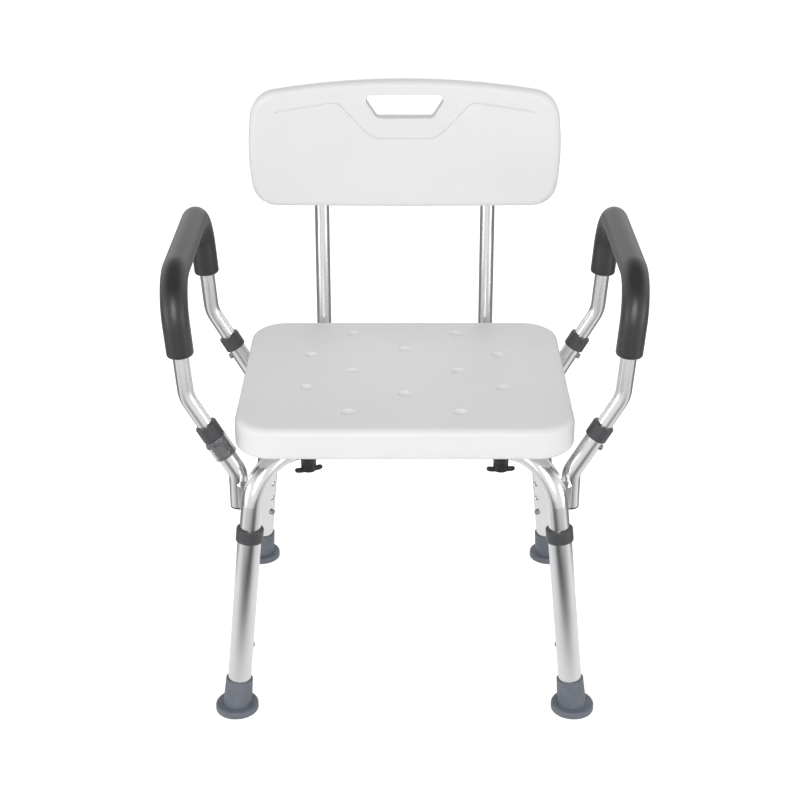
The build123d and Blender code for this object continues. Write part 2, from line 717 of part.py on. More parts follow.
for side, word in ((-1, "left"), (1, "right")):
    low_x = arm_collar_x - arm_end * axis_x
    low_z = arm_collar_z - arm_end * axis_z
    front = [(low_x, low_z), (arm_x, arm_corner_z), (arm_out(arm_height), arm_height)]
    points = [(side * x, -arm_y, z) for x, z in front]
    points += [(x, -y, z) for x, y, z in reversed(points)]
    arm_path = rounded_path(points, [arm_low_bend, arm_bend, arm_bend, arm_low_bend])
    arm = tube(arm_path, arm_tube_od, arm_tube_wall)
    springs = []
    for end in ("front", "rear"):
        name = end + "_" + word
        spot = arm_place(name) * Pos(0, 0, -arm_button_below)
        arm -= spot * sideways(button_radius + hole_gap, 0, arm_tube_od)
        springs.append(spot * leaf_spring(arm_bore))
        save(spot * snap_button(leaf_face(arm_bore), socket_radius + button_stand), "arm_button_" + name)
    save(arm, "arm_tube_" + word)
    save(Compound(springs), "arm_springs_" + word)
    grip_front = [(side * arm_out(z), -arm_y, z) for z in (grip_end_z, arm_height)]
    grip_points = grip_front + [(x, -y, z) for x, y, z in reversed(grip_front)]
    grip_path = rounded_path(grip_points, [arm_bend, arm_bend])
    grip = rod(grip_path, grip_od / 2)
    grip_ends = grip.faces().sort_by(Axis.Z)[:2]
    grip = fillet(grip_ends[0].edges() + grip_ends[1].edges(), grip_end_round)
    save(grip - rod(grip_path, arm_radius + seat_gap), "arm_grip_" + word)
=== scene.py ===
import json
import math

import bpy
import numpy as np
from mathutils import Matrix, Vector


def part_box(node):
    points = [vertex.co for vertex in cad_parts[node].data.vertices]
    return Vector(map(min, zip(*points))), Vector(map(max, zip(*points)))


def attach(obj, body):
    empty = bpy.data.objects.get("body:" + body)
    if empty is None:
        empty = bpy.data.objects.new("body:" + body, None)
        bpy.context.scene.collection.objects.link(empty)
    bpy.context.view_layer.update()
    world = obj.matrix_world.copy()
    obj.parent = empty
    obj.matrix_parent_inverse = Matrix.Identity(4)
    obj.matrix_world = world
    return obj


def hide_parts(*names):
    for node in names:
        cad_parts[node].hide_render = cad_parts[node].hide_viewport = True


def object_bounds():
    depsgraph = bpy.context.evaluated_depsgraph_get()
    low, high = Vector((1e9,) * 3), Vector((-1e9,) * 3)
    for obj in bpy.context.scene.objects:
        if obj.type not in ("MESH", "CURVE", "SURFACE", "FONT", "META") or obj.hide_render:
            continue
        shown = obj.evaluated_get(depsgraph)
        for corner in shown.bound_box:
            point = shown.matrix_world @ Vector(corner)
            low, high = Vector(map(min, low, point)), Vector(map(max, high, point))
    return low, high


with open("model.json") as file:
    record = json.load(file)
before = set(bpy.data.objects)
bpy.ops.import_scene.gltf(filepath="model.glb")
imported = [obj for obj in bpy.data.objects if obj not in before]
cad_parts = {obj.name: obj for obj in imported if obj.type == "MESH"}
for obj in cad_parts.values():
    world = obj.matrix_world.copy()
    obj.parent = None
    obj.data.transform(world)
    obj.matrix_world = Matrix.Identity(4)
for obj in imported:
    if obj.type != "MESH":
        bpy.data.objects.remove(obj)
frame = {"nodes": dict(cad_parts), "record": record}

bl_info = {
    "name": "Shower chair finish",
    "version": (1, 0, 0),
    "blender": (4, 5, 0),
    "location": "View3D > Sidebar > Shower chair",
    "description": "Dresses the shower chair's frame with its finishes, foam grips and studio",
    "category": "Object",
}

CAD_BOX = [list(map(float, corner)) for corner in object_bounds()]
NODES = frame["nodes"]
SLOT_OF = {part["node"]: part["material_slot"] for part in frame["record"]["subparts"]}
SIDES = (("left", -1.0), ("right", 1.0))
CORNERS = ("front_left", "front_right", "rear_left", "rear_right")

HALF_TURN = math.pi
QUARTER_TURN = 0.5 * math.pi
FULL_TURN = 2.0 * math.pi
WHITE = (1.0, 1.0, 1.0, 1.0)
BLACK = (0.0, 0.0, 0.0, 1.0)
FRONT = Vector((0.0, -1.0, 0.0))
BACK = Vector((0.0, 1.0, 0.0))

# Grain: the noise values between which tone and gloss change, and the bump's height in metres.
GRAIN_RANGE = (0.3, 0.7)
GRAIN_HEIGHT = 0.0004

# Smoky sleeve, in metres from its middle: where each mask begins and where it is full.
SLEEVE_RIM = (0.0105, 0.0125)
SLEEVE_SQUARE_ENDS = (0.006, 0.0075)
SLEEVE_SQUARE_SIDES = (0.0065, 0.008)
SLEEVE_FRONT = (0.0, 0.002)
# Its opacity where it is clearest, what the darker front square adds to that, and the rim's share
# of what the square adds.
SLEEVE_CLEAR = 0.42
SLEEVE_DARKER = 0.45
SLEEVE_RIM_SHARE = 0.5

# Foam grip: grid steps round an end, along the outside, along the bore and round the section,
# and the distance from one fold to the next in metres.
GRIP_END_STEPS = 6
GRIP_RUN_STEPS = 150
GRIP_BORE_STEPS = 60
GRIP_ROUND_STEPS = 48
FOLD_PITCH = 0.011

# Wing knob: grid steps round a section, down the hub and along the bar.
KNOB_ROUND_STEPS = 32
HUB_STEPS = 16
BAR_STEPS = 33
# Its hub: the top ring's share of the flange, the first level below it, and the fall to the neck.
HUB_EDGE = 0.9
HUB_FIRST = 0.03
HUB_FALL_RATE = 22.0
HUB_FALL_AT = 0.3
# Its bar: the wings' share of their width at the hub, the power that closes the tips, and how far
# out the last sections lie, as a share of a half turn.
WING_ROOT = 0.7
TIP_POWER = 10
TIP_REACH = 0.49

# Studio: heights over which the ceiling fades in, and distances over which the dark back does.
CEILING_FADE = (0.45, 0.8)
BACK_FADE = (0.28, 0.5)
FLOOR_REACH = 12.0
FLOOR_GAP = 0.0005
SENSOR_WIDTH = 36.0
CHAIR_MIDDLE = (0.0, 0.0, 0.4)
FLOOR_MIDDLE = (0.0, 0.0, 0.0)
# Lamps: name, place, target, size, setting that holds the power, and whether metal shows the lamp.
LAMPS = (
    ("key", (-0.3, -2.6, 1.35), CHAIR_MIDDLE, 1.3, "key_power", True),
    ("overhead", (0.0, 0.3, 2.6), FLOOR_MIDDLE, 1.4, "top_power", False),
    ("fill", (0.4, 2.4, 1.2), CHAIR_MIDDLE, 1.3, "fill_power", False),
    ("side_left", (-1.7, -0.7, 0.3), CHAIR_MIDDLE, 1.0, "side_power", True),
    ("side_right", (1.7, -0.7, 0.3), CHAIR_MIDDLE, 1.0, "side_power", True),
)


class ChairFinish(bpy.types.PropertyGroup):
    """Colours and surface sizes of the chair's materials."""

    moulding: bpy.props.FloatVectorProperty(
        name="Moulding", description="Colour of the seat and backrest",
        default=(0.83, 0.835, 0.84), size=3, subtype="COLOR", min=0.0, max=1.0)
    moulding_grain: bpy.props.FloatProperty(
        name="Moulding grain", description="Size of the fine texture on the seat and backrest",
        default=0.0011, unit="LENGTH", min=0.0001)
    aluminium: bpy.props.FloatVectorProperty(
        name="Aluminium", description="Colour of the anodised tubes and saddles",
        default=(0.82, 0.822, 0.826), size=3, subtype="COLOR", min=0.0, max=1.0)
    aluminium_roughness: bpy.props.FloatProperty(
        name="Aluminium roughness", description="How matt the anodised tubes are",
        default=0.2, min=0.0, max=1.0, subtype="FACTOR")
    dark_plastic: bpy.props.FloatVectorProperty(
        name="Dark plastic", description="Colour of the collars and plugs",
        default=(0.062, 0.064, 0.068), size=3, subtype="COLOR", min=0.0, max=1.0)
    knob: bpy.props.FloatVectorProperty(
        name="Wing knob", description="Colour of the wing knobs",
        default=(0.016, 0.016, 0.017), size=3, subtype="COLOR", min=0.0, max=1.0)
    rubber: bpy.props.FloatVectorProperty(
        name="Rubber", description="Colour of the feet",
        default=(0.15, 0.165, 0.195), size=3, subtype="COLOR", min=0.0, max=1.0)
    foam: bpy.props.FloatVectorProperty(
        name="Foam", description="Colour of the arm grips",
        default=(0.017, 0.017, 0.018), size=3, subtype="COLOR", min=0.0, max=1.0)
    steel: bpy.props.FloatVectorProperty(
        name="Steel", description="Colour of the buttons, screws and bolts",
        default=(0.3, 0.303, 0.308), size=3, subtype="COLOR", min=0.0, max=1.0)
    smoke: bpy.props.FloatVectorProperty(
        name="Smoky sleeve", description="Colour of the translucent sleeve",
        default=(0.16, 0.165, 0.172), size=3, subtype="COLOR", min=0.0, max=1.0)


class GripSizes(bpy.types.PropertyGroup):
    """Sizes of the foam arm grips; their place comes from the solid that they replace."""

    radius: bpy.props.FloatProperty(
        name="Radius", description="Outside radius of the foam",
        default=0.016, unit="LENGTH", min=0.01)
    drop: bpy.props.FloatProperty(
        name="Drop", description="Height of the bar's centre line above the foam's ends",
        default=0.088, unit="LENGTH", min=0.05)
    lean: bpy.props.FloatProperty(
        name="Lean", description="How far the arms lean outwards",
        default=math.radians(4.0), unit="ROTATION")
    bend: bpy.props.FloatProperty(
        name="Bend", description="Centre-line radius of the arm's upper bends",
        default=0.050, unit="LENGTH", min=0.02)
    bore: bpy.props.FloatProperty(
        name="Bore", description="Radius of the hole that the arm tube fills",
        default=0.009625, unit="LENGTH", min=0.002)
    end_round: bpy.props.FloatProperty(
        name="End round", description="Rounding of the foam's cut ends",
        default=0.0035, unit="LENGTH", min=0.0)
    crease: bpy.props.FloatProperty(
        name="Crease", description="Depth of the folds on the inside of the bends",
        default=0.00035, unit="LENGTH", min=0.0)


class KnobSizes(bpy.types.PropertyGroup):
    """Sizes of the wing knobs; their place and height come from the solids that they replace."""

    flange: bpy.props.FloatProperty(
        name="Flange", description="Radius of the hub's upper end",
        default=0.0105, unit="LENGTH", min=0.003)
    neck: bpy.props.FloatProperty(
        name="Neck", description="Radius of the hub's lower end",
        default=0.0092, unit="LENGTH", min=0.003)
    length: bpy.props.FloatProperty(
        name="Wing length", description="Length over both wings",
        default=0.035, unit="LENGTH", min=0.01)
    width: bpy.props.FloatProperty(
        name="Wing width", description="Width of the wings at their tips",
        default=0.0068, unit="LENGTH", min=0.001)
    height: bpy.props.FloatProperty(
        name="Wing height", description="Height of the wings",
        default=0.0055, unit="LENGTH", min=0.001)
    lift: bpy.props.FloatProperty(
        name="Wing lift", description="How far the tips rise above the middle",
        default=0.0012, unit="LENGTH")
    turn: bpy.props.FloatVectorProperty(
        name="Turn",
        description="How far each knob is turned: front left, front right, rear left, rear right",
        default=[math.radians(angle) for angle in (20.0, 3.0, 65.0, -40.0)],
        size=4, unit="ROTATION")


class StudioSettings(bpy.types.PropertyGroup):
    """Camera, light and floor of the studio."""

    camera_back: bpy.props.FloatProperty(
        name="Camera distance",
        description="How far the camera stands in front of the chair's middle",
        default=1.78305, unit="LENGTH")
    camera_height: bpy.props.FloatProperty(
        name="Camera height", description="Height of the camera above the floor",
        default=1.18927, unit="LENGTH")
    camera_pitch: bpy.props.FloatProperty(
        name="Camera pitch", description="How far the camera looks down",
        default=math.radians(25.508), unit="ROTATION")
    camera_lens: bpy.props.FloatProperty(
        name="Lens", description="Focal length in millimetres on a 36 mm sensor", default=70.2)
    camera_shift: bpy.props.FloatProperty(
        name="Shift", description="Sideways lens shift", default=-0.005875)
    key_power: bpy.props.FloatProperty(
        name="Key light", description="Power of the large light by the camera",
        default=31.0, unit="POWER")
    top_power: bpy.props.FloatProperty(
        name="Top light", description="Power of the overhead light",
        default=7.2, unit="POWER")
    side_power: bpy.props.FloatProperty(
        name="Side lights", description="Power of each of the two lights beside the chair",
        default=6.0, unit="POWER")
    fill_power: bpy.props.FloatProperty(
        name="Back light", description="Power of the weak light behind the chair",
        default=9.0, unit="POWER")
    sky: bpy.props.FloatProperty(
        name="Ambient", description="Strength of the even light from all round", default=0.45)
    room: bpy.props.FloatProperty(
        name="Room", description="How bright the room looks in metal", default=0.88)
    room_dark: bpy.props.FloatProperty(
        name="Dark patch", description="How bright the dark patch of floor looks in metal",
        default=0.0)
    room_back: bpy.props.FloatProperty(
        name="Dark back", description="How bright the floor behind the chair looks in metal",
        default=0.24)
    ceiling: bpy.props.FloatProperty(
        name="Ceiling", description="How bright the ceiling looks in metal", default=0.2)
    patch_ahead: bpy.props.FloatProperty(
        name="Dark patch ahead",
        description="How far ahead of the chair the floor is darkest in metal",
        default=0.66, unit="LENGTH")
    patch_width: bpy.props.FloatProperty(
        name="Dark patch width", description="Reach of that patch across the floor",
        default=0.75, unit="LENGTH")
    patch_depth: bpy.props.FloatProperty(
        name="Dark patch depth", description="Reach of that patch along the floor",
        default=0.28, unit="LENGTH")
    back_slope: bpy.props.FloatProperty(
        name="Dark back slope",
        description="How far the floor's dark back comes forward beside the chair", default=0.55)
    floor_lift: bpy.props.FloatProperty(
        name="Floor lift", description="Light added to the floor where the camera sees it",
        default=0.62)
    floor: bpy.props.FloatVectorProperty(
        name="Floor", description="Colour of the floor",
        default=(0.9, 0.9, 0.9), size=3, subtype="COLOR", min=0.0, max=1.0)


SETTINGS = (
    ("chair_finish", ChairFinish),
    ("chair_grips", GripSizes),
    ("chair_knobs", KnobSizes),
    ("chair_studio", StudioSettings),
)


def colour(value):
    """A colour with full alpha."""
    return (value[0], value[1], value[2], 1.0)


def link(tree, source, output, target, socket):
    """Join one node's output to another's input."""
    tree.links.new(source.outputs[output], target.inputs[socket])


def value_node(tree, operation, first, second=None):
    """A maths node whose inputs are numbers or other nodes' outputs."""
    node = tree.nodes.new("ShaderNodeMath")
    node.operation = operation
    for index, given in enumerate((first, second)):
        if given is None:
            continue
        if isinstance(given, bpy.types.NodeSocket):
            tree.links.new(given, node.inputs[index])
        else:
            node.inputs[index].default_value = given
    return node.outputs["Value"]


def fade(tree, given, limits):
    """A smooth change from 0 to 1 between two values."""
    node = tree.nodes.new("ShaderNodeMapRange")
    node.interpolation_type = "SMOOTHSTEP"
    node.inputs["From Min"].default_value, node.inputs["From Max"].default_value = limits
    tree.links.new(given, node.inputs["Value"])
    return node.outputs["Result"]


def node_middle(name):
    """The middle of a frame node's box."""
    low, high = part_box(name)
    return 0.5 * (Vector(low) + Vector(high))


def offset_along(tree, middle, direction):
    """How far a point of the surface lies from a middle point along a direction."""
    where = tree.nodes.new("ShaderNodeTexCoord")
    dot = tree.nodes.new("ShaderNodeVectorMath")
    dot.operation = "DOT_PRODUCT"
    dot.inputs[1].default_value = direction
    link(tree, where, "Object", dot, 0)
    return value_node(tree, "SUBTRACT", dot.outputs["Value"], middle.dot(direction))


def grain_group():
    """Fine surface grain: two sizes of noise, put out as a height and as a slow blotch mask."""
    if "surface_grain" in bpy.data.node_groups:
        return bpy.data.node_groups["surface_grain"]
    group = bpy.data.node_groups.new("surface_grain", "ShaderNodeTree")
    for label in ("Scale", "Blotch Scale"):
        group.interface.new_socket(label, in_out="INPUT", socket_type="NodeSocketFloat")
    for label in ("Height", "Blotch"):
        group.interface.new_socket(label, in_out="OUTPUT", socket_type="NodeSocketFloat")
    given = group.nodes.new("NodeGroupInput")
    result = group.nodes.new("NodeGroupOutput")
    where = group.nodes.new("ShaderNodeTexCoord")
    fine = group.nodes.new("ShaderNodeTexNoise")
    fine.inputs["Detail"].default_value = 3.0
    fine.inputs["Roughness"].default_value = 0.6
    slow = group.nodes.new("ShaderNodeTexNoise")
    slow.inputs["Detail"].default_value = 2.0
    link(group, where, "Object", fine, "Vector")
    link(group, where, "Object", slow, "Vector")
    link(group, given, "Scale", fine, "Scale")
    link(group, given, "Blotch Scale", slow, "Scale")
    link(group, fine, "Fac", result, "Height")
    link(group, slow, "Fac", result, "Blotch")
    return group


def new_material(name, base, roughness, metallic=0.0):
    """A principled material with its constant values set on the shader itself."""
    material = bpy.data.materials.new(name)
    material.use_nodes = True
    shader = material.node_tree.nodes["Principled BSDF"]
    shader.inputs["Base Color"].default_value = colour(base)
    shader.inputs["Roughness"].default_value = roughness
    shader.inputs["Metallic"].default_value = metallic
    return material, material.node_tree, shader


def add_grain(tree, shader, base, roughness, *, scale, blotch, depth, tint, spread):
    """Give a material grain: a bump, a slow change of tone round its base and a change of gloss.

    The scales are noise cells per metre; depth is the bump's strength, tint the share by which the
    tone changes either way, and spread how far the roughness does.
    """
    low, high = GRAIN_RANGE
    grain = tree.nodes.new("ShaderNodeGroup")
    grain.node_tree = grain_group()
    grain.inputs["Scale"].default_value = scale
    grain.inputs["Blotch Scale"].default_value = blotch
    bump = tree.nodes.new("ShaderNodeBump")
    bump.inputs["Strength"].default_value = depth
    bump.inputs["Distance"].default_value = GRAIN_HEIGHT
    link(tree, grain, "Height", bump, "Height")
    link(tree, bump, "Normal", shader, "Normal")
    tone = tree.nodes.new("ShaderNodeValToRGB")
    darker, lighter = tone.color_ramp.elements
    darker.position = low
    lighter.position = high
    darker.color = colour([part * (1.0 - tint) for part in base])
    lighter.color = colour([min(1.0, part * (1.0 + tint)) for part in base])
    link(tree, grain, "Blotch", tone, "Fac")
    link(tree, tone, "Color", shader, "Base Color")
    gloss = tree.nodes.new("ShaderNodeMapRange")
    gloss.inputs["From Min"].default_value = low
    gloss.inputs["From Max"].default_value = high
    gloss.inputs["To Min"].default_value = roughness - spread
    gloss.inputs["To Max"].default_value = roughness + spread
    link(tree, grain, "Height", gloss, "Value")
    link(tree, gloss, "Result", shader, "Roughness")


def moulded_plastic(finish):
    """White blow-moulded polyethylene: fine satin texture with a soft change of tone."""
    roughness = 0.42
    material, tree, shader = new_material("moulded_white", finish.moulding, roughness)
    shader.inputs["Specular IOR Level"].default_value = 0.4
    shader.inputs["Subsurface Weight"].default_value = 0.08
    shader.inputs["Subsurface Radius"].default_value = (0.004, 0.004, 0.004)
    shader.inputs["Subsurface Scale"].default_value = 1.0
    add_grain(tree, shader, finish.moulding, roughness, scale=1.0 / finish.moulding_grain,
              blotch=9.0, depth=0.05, tint=0.012, spread=0.05)
    return material


def anodised_tube(finish):
    """Satin anodised aluminium: metal with a fine even grain."""
    roughness = finish.aluminium_roughness
    material, tree, shader = new_material(
        "anodised_aluminium", finish.aluminium, roughness, metallic=1.0)
    add_grain(tree, shader, finish.aluminium, roughness,
              scale=1500.0, blotch=25.0, depth=0.03, tint=0.03, spread=0.04)
    return material


def collar_plastic(finish):
    """Dark semi-gloss moulded plastic of the collars and plugs."""
    roughness = 0.36
    material, tree, shader = new_material("collar_plastic", finish.dark_plastic, roughness)
    add_grain(tree, shader, finish.dark_plastic, roughness,
              scale=1100.0, blotch=60.0, depth=0.05, tint=0.1, spread=0.06)
    return material


def knob_plastic(finish):
    """Black plastic of the wing knobs."""
    roughness = 0.38
    material, tree, shader = new_material("knob_plastic", finish.knob, roughness)
    add_grain(tree, shader, finish.knob, roughness,
              scale=1100.0, blotch=60.0, depth=0.05, tint=0.1, spread=0.06)
    return material


def foot_rubber(finish):
    """Slate-grey rubber of the feet: matt, a little dusty and uneven."""
    roughness = 0.5
    material, tree, shader = new_material("foot_rubber", finish.rubber, roughness)
    add_grain(tree, shader, finish.rubber, roughness,
              scale=700.0, blotch=45.0, depth=0.1, tint=0.14, spread=0.08)
    return material


def grip_foam(finish):
    """Charcoal closed-cell foam: fine cells and a soft sheen."""
    roughness = 0.36
    material, tree, shader = new_material("grip_foam", finish.foam, roughness)
    shader.inputs["Specular IOR Level"].default_value = 0.65
    shader.inputs["Sheen Weight"].default_value = 0.15
    shader.inputs["Sheen Roughness"].default_value = 0.5
    add_grain(tree, shader, finish.foam, roughness,
              scale=1400.0, blotch=40.0, depth=0.22, tint=0.16, spread=0.05)
    return material


def plain_steel(finish):
    """Plain grey steel of the buttons, springs, rivets, screws and bolts."""
    roughness = 0.24
    material, tree, shader = new_material("plain_steel", finish.steel, roughness, metallic=1.0)
    add_grain(tree, shader, finish.steel, roughness,
              scale=1800.0, blotch=90.0, depth=0.03, tint=0.06, spread=0.05)
    return material


def smoky_plastic(finish):
    """Translucent smoky plastic of the clip sleeve: dark at its rims and in a square on its front.
    """
    roughness = 0.2
    material, tree, shader = new_material("smoky_plastic", finish.smoke, roughness)
    add_grain(tree, shader, finish.smoke, roughness,
              scale=600.0, blotch=50.0, depth=0.04, tint=0.1, spread=0.04)
    middle = node_middle("button_sleeve")
    axis = (middle - node_middle("arm_collar_front_left")).normalized()
    across = axis.cross(BACK).normalized()
    along = value_node(tree, "ABSOLUTE", offset_along(tree, middle, axis))
    sideways = value_node(tree, "ABSOLUTE", offset_along(tree, middle, across))
    rim = value_node(tree, "MULTIPLY", fade(tree, along, SLEEVE_RIM), SLEEVE_RIM_SHARE)
    # A darker, more opaque square on the sleeve's front, between these ends and sides.
    inside = value_node(tree, "SUBTRACT", 1.0, fade(tree, along, SLEEVE_SQUARE_ENDS))
    front_square = value_node(tree, "SUBTRACT", inside, fade(tree, sideways, SLEEVE_SQUARE_SIDES))
    front = fade(tree, offset_along(tree, middle, FRONT), SLEEVE_FRONT)
    dark = value_node(tree, "MAXIMUM", rim, value_node(tree, "MULTIPLY", front_square, front))
    added = value_node(tree, "MULTIPLY", dark, SLEEVE_DARKER)
    tree.links.new(value_node(tree, "ADD", added, SLEEVE_CLEAR), shader.inputs["Alpha"])
    return material


def paint(names, material):
    """Put one material on the named nodes of the frame."""
    if not names:
        raise RuntimeError("no nodes to paint with " + material.name)
    for name in names:
        slots = NODES[name].data.materials
        slots.clear()
        slots.append(material)


def slot_nodes(slot):
    """Nodes of the frame that take one of the record's material slots."""
    return [node for node, name in SLOT_OF.items() if name == slot]


def add_mesh(name, points, faces, material, smooth=True):
    """A mesh object at the origin from an array of points and a list of faces."""
    mesh = bpy.data.meshes.new(name)
    mesh.from_pydata(points.tolist(), [], faces)
    mesh.polygons.foreach_set("use_smooth", np.full(len(mesh.polygons), smooth))
    mesh.materials.append(material)
    mesh.update()
    item = bpy.data.objects.new(name, mesh)
    bpy.context.scene.collection.objects.link(item)
    return item


def ring_faces(rows, columns):
    """Quads of a grid that closes on itself both ways."""
    row = np.arange(rows)[:, None]
    column = np.arange(columns)[None, :]
    next_row = (row + 1) % rows
    next_column = (column + 1) % columns
    corners = np.broadcast_arrays(
        row * columns + column, row * columns + next_column,
        next_row * columns + next_column, next_row * columns + column)
    return np.stack(corners, axis=-1).reshape(-1, 4).tolist()


def capped_rings(rings):
    """A closed surface through a stack of rings.

    It has quads round it, and triangles to the middle of each end ring.
    """
    rows, columns, _ = rings.shape
    points = np.concatenate([rings.reshape(-1, 3), rings[[0, -1]].mean(axis=1)])
    wall = ring_faces(rows, columns)[:(rows - 1) * columns]
    first = rows * columns
    base = first - columns
    around = [(step, (step + 1) % columns) for step in range(columns)]
    caps = [[first, after, before] for before, after in around]
    caps += [[first + 1, base + before, base + after] for before, after in around]
    return points, wall + caps


def arch(along, post, half, bend):
    """Arm-grip centre line: up one post, round a bend, along the bar, round a bend and down.

    For each distance along it, gives how far forward or back it is, how far up its own plane from
    the foam's ends, the outward normal in that plane, how far it has turned, and the whole length.
    """
    straight = post - bend
    quarter = QUARTER_TURN * bend
    total = 2.0 * (straight + quarter + half - bend)
    mirror = along > 0.5 * total
    s = np.where(mirror, total - along, along)
    turn = np.clip((s - straight) / bend, 0.0, QUARTER_TURN)
    y = -half + bend - bend * np.cos(turn) + np.clip(s - straight - quarter, 0.0, None)
    up = np.clip(s, None, straight) + bend * np.sin(turn)
    flip = np.where(mirror, -1.0, 1.0)
    return y * flip, up, -np.cos(turn) * flip, np.sin(turn), turn, total


def grip_surface(low, high, side, grip):
    """Foam grip: a circle carried along the arch, whose plane leans outwards.

    Its radius follows the foam's outside, drops in a quarter circle at both cut ends, and dips in
    shallow folds on the inside of the bends; the way back runs along the bore, so the surface
    closes on itself.
    """
    radius, rounding = grip.radius, grip.end_round
    half = 0.5 * (high[1] - low[1]) - radius
    bar_x = (high[0] if side > 0.0 else -low[0]) - radius
    bar_z = high[2] - radius
    post = grip.drop / math.cos(grip.lean)
    total = arch(np.zeros(1), post, half, grip.bend)[-1]
    rise = rounding * (1.0 - np.cos(np.linspace(0.0, QUARTER_TURN, GRIP_END_STEPS)))[:-1]
    run = np.linspace(rounding, total - rounding, GRIP_RUN_STEPS)
    along = np.concatenate([rise, run, total - rise[::-1]])
    edge = np.clip(np.minimum(along, total - along), 0.0, rounding)
    outer = radius - rounding + np.sqrt(rounding ** 2 - (rounding - edge) ** 2)
    back = np.linspace(total, 0.0, GRIP_BORE_STEPS)
    path = np.concatenate([along, back])
    size = np.concatenate([outer, np.full(len(back), grip.bore)])
    angle = np.linspace(0.0, FULL_TURN, GRIP_ROUND_STEPS, endpoint=False)
    y, up, normal_y, normal_up, turn, _ = arch(path, post, half, grip.bend)
    inside = np.clip(-np.cos(angle), 0.0, 1.0) ** 2
    bending = np.sin(2.0 * turn) * (np.arange(len(path)) < len(along))
    folds = grip.crease * (0.5 + 0.5 * np.cos(path * FULL_TURN / FOLD_PITCH)) * bending
    reach = size[:, None] - folds[:, None] * inside[None, :]
    out = reach * np.cos(angle)[None, :]
    across = reach * np.sin(angle)[None, :]
    climb = up[:, None] - post + normal_up[:, None] * out
    points = np.stack([
        side * (bar_x + climb * math.sin(grip.lean) + across * math.cos(grip.lean)),
        y[:, None] + normal_y[:, None] * out,
        bar_z + climb * math.cos(grip.lean) - across * math.sin(grip.lean),
    ], axis=-1).reshape(-1, 3)
    faces = ring_faces(len(path), len(angle))
    return points, faces if side > 0.0 else [face[::-1] for face in faces]


def knob_surface(low, high, turn, knob):
    """Wing knob: a hub of circles under the seat and a bar of rounded sections across its foot.

    The hub's radius falls from flange to neck as 1 / (1 + exp(k (t - t0))) down its height. The
    bar's section is |y/b|^4 + |z/c|^4 = 1; along it, s from -1 to 1, its width swells as
    0.7 + 0.3 s^2, its level rises as lift s^2, and both close at the tips as (1 - s^10)^(1/2).
    """
    centre = 0.5 * (np.array(low) + np.array(high))
    angle = np.linspace(0.0, FULL_TURN, KNOB_ROUND_STEPS, endpoint=False)
    round_x, round_y = np.cos(angle), np.sin(angle)
    flat = np.zeros_like(angle)
    t = np.concatenate([[0.0, 0.0], np.linspace(HUB_FIRST, 1.0, HUB_STEPS)])
    fall = 1.0 / (1.0 + np.exp(HUB_FALL_RATE * (t - HUB_FALL_AT)))
    radius = knob.neck + (knob.flange - knob.neck) * fall
    radius[0] *= HUB_EDGE
    level = high[2] - t * (high[2] - low[2] - 0.5 * knob.height)
    hub = np.stack([
        radius[:, None] * round_x,
        radius[:, None] * round_y,
        level[:, None] + flat,
    ], axis=-1)
    s = np.sin(np.linspace(-TIP_REACH * HALF_TURN, TIP_REACH * HALF_TURN, BAR_STEPS))
    close = np.sqrt(1.0 - s ** TIP_POWER)
    half_width = 0.5 * knob.width * (WING_ROOT + (1.0 - WING_ROOT) * s ** 2) * close
    middle = low[2] + 0.5 * knob.height + knob.lift * s ** 2
    section_y = np.sign(round_y) * np.sqrt(np.abs(round_y))
    section_z = np.sign(round_x) * np.sqrt(np.abs(round_x))
    bar = np.stack([
        0.5 * knob.length * s[:, None] + flat,
        -half_width[:, None] * section_y,
        middle[:, None] + 0.5 * knob.height * close[:, None] * section_z,
    ], axis=-1)
    points, faces = capped_rings(hub[::-1])
    bar_points, bar_faces = capped_rings(bar)
    faces += [[corner + len(points) for corner in face] for face in bar_faces]
    points = np.concatenate([points, bar_points])
    across, along = points[:, 0].copy(), points[:, 1].copy()
    points[:, 0] = centre[0] + across * math.cos(turn) - along * math.sin(turn)
    points[:, 1] = centre[1] + across * math.sin(turn) + along * math.cos(turn)
    return points, faces


class ChairOperator:
    """Shared options of the chair's operators."""

    bl_options = {"REGISTER", "UNDO"}


class CHAIR_OT_tubes(ChairOperator, bpy.types.Operator):
    """Give the frame, leg, back, socket and arm tubes their anodised finish"""

    bl_idname = "chair.tubes"
    bl_label = "Anodised tubes"

    def execute(self, context):
        paint(slot_nodes("satin_aluminium"), anodised_tube(context.scene.chair_finish))
        return {"FINISHED"}


class CHAIR_OT_mouldings(ChairOperator, bpy.types.Operator):
    """Give the seat and the backrest their moulded white plastic"""

    bl_idname = "chair.mouldings"
    bl_label = "Seat and backrest"

    def execute(self, context):
        paint(slot_nodes("white_plastic"), moulded_plastic(context.scene.chair_finish))
        return {"FINISHED"}


class CHAIR_OT_collars(ChairOperator, bpy.types.Operator):
    """Give the collars and plugs their dark plastic"""

    bl_idname = "chair.collars"
    bl_label = "Collars and plugs"

    def execute(self, context):
        dark = slot_nodes("dark_plastic")
        paint([node for node in dark if not node.startswith("wing_knob")],
              collar_plastic(context.scene.chair_finish))
        return {"FINISHED"}


class CHAIR_OT_knobs(ChairOperator, bpy.types.Operator):
    """Make the four wing knobs under the seat"""

    bl_idname = "chair.knobs"
    bl_label = "Wing knobs"

    def execute(self, context):
        knob = context.scene.chair_knobs
        material = knob_plastic(context.scene.chair_finish)
        for corner, turn in zip(CORNERS, knob.turn):
            node = "wing_knob_" + corner
            low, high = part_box(node)
            points, faces = knob_surface(low, high, turn, knob)
            piece = add_mesh("wing_" + corner + "_knob", points, faces, material)
            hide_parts(node)
            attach(piece, "wing_" + corner)
        return {"FINISHED"}


